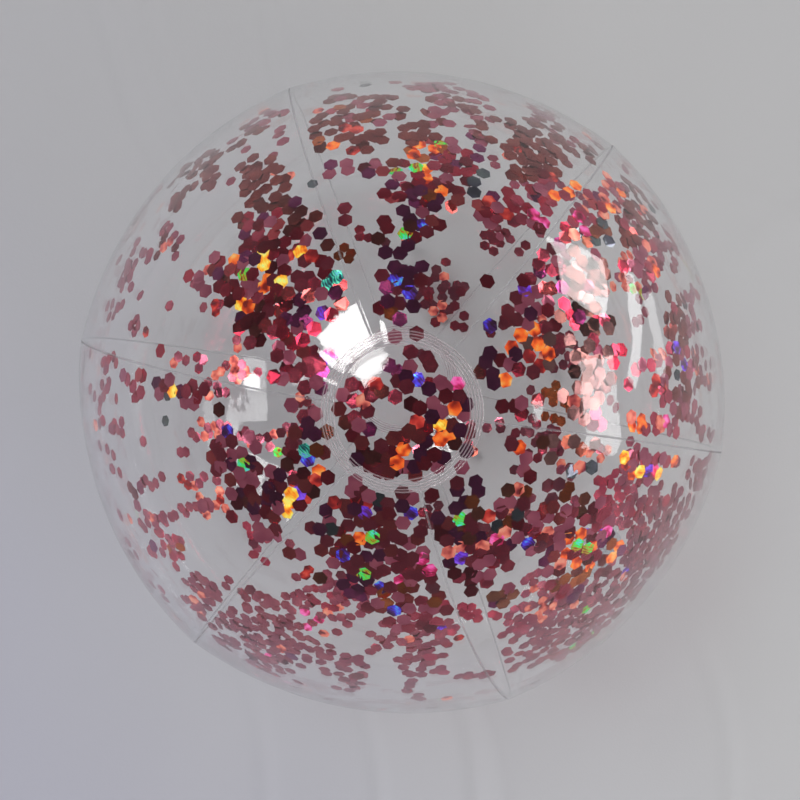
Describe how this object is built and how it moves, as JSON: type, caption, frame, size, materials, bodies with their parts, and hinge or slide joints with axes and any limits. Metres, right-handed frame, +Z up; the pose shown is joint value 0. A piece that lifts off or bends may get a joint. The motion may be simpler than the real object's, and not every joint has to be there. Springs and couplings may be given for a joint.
{
  "type": "inflatable beach ball",
  "caption": "Inflatable beach ball of clear film gores with pole patches, loose foil confetti inside and a push-in mouth valve with a tethered plug.",
  "frame": {"origin": "middle of the flat spot of the lower pole patch, on the surface that the ball stands on", "axes": "+Z up along the pole axis through both patches; +X and +Y level, with the first seam 50 degrees round from +X towards +Y"},
  "size_m": [0.2698, 0.2684, 0.2686],
  "materials": {
    "clear_film": "clear glossy vinyl film",
    "patch_film": "clear glossy vinyl film, double thickness with embossed rings",
    "soft_vinyl": "clear soft moulded vinyl",
    "foil": "iridescent metallised film"
  },
  "bodies": {
    "ball": {"gore_1": "clear_film", "gore_2": "clear_film", "gore_3": "clear_film", "gore_4": "clear_film", "gore_5": "clear_film", "gore_6": "clear_film", "pole_patch_top": "patch_film", "pole_patch_bottom": "patch_film", "valve_flange": "soft_vinyl", "valve_web": "soft_vinyl", "confetti_01": "foil", "confetti_02": "foil", "confetti_03": "foil", "confetti_04": "foil", "confetti_05": "foil", "confetti_06": "foil", "confetti_07": "foil", "confetti_08": "foil", "confetti_09": "foil", "confetti_10": "foil", "confetti_11": "foil", "confetti_12": "foil"},
    "stem": {"valve_stem": "soft_vinyl", "plug_strap": "soft_vinyl"},
    "plug": {"valve_plug": "soft_vinyl"},
    "flap": {"check_flap": "soft_vinyl"}
  },
  "joints": [
    {"name": "valve_pop", "type": "slide", "parent": "ball", "child": "stem", "axis": [0.6998, -0.5872, -0.4067], "range_m": [0, 0.009], "deforming": ["valve_web"]},
    {"name": "plug_pull", "type": "slide", "parent": "stem", "child": "plug", "axis": [0.6998, -0.5872, -0.4067], "range_m": [0, 0.008], "deforming": ["plug_strap"]},
    {"name": "check_flap_hinge", "type": "hinge", "parent": "stem", "child": "flap", "pos_m": [0.08602, -0.07218, 0.08803], "axis": [0.6428, 0.766, 0], "range_deg": [0, 55]}
  ]
}
